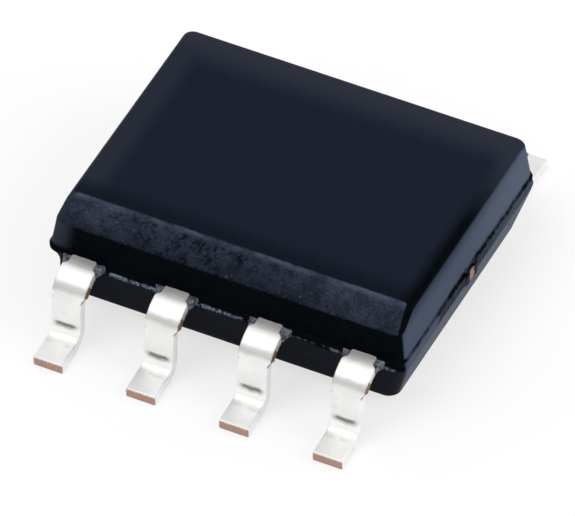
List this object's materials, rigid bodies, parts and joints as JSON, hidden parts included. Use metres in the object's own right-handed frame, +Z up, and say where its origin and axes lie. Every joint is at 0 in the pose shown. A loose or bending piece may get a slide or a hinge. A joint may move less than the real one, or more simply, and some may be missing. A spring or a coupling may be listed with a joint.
{
  "type": "operational amplifier chip",
  "caption": "Small-outline surface-mount amplifier package: black moulded body with one bevelled long edge and gull-wing leads, complete with its chip, paddle and bond wires inside.",
  "frame": {"origin": "on the seating plane, which is the lowest line of the toes, under the package's centre", "axes": "+X along the row from pin 1 to pin 4, +Y across the leads towards pins 5 to 8, +Z up out of the board"},
  "size_m": [0.005, 0.006, 0.0016],
  "materials": {
    "mould_compound": "satin",
    "tinned_lead": "satin tin plate",
    "copper": "bare copper alloy",
    "die_adhesive": "silver-filled adhesive",
    "silicon": "polished silicon",
    "gold_wire": "drawn gold"
  },
  "bodies": {
    "root": {"mould_body": "mould_compound", "lead_1": "tinned_lead", "lead_2": "tinned_lead", "lead_3": "tinned_lead", "lead_4": "tinned_lead", "lead_5": "tinned_lead", "lead_6": "tinned_lead", "lead_7": "tinned_lead", "lead_8": "tinned_lead", "die_pad": "copper", "die_attach": "die_adhesive", "silicon_die": "silicon", "bond_wire_1": "gold_wire", "bond_wire_2": "gold_wire", "bond_wire_3": "gold_wire", "bond_wire_4": "gold_wire", "bond_wire_5": "gold_wire", "bond_wire_6": "gold_wire", "bond_wire_7": "gold_wire", "bond_wire_8": "gold_wire"}
  },
  "joints": []
}
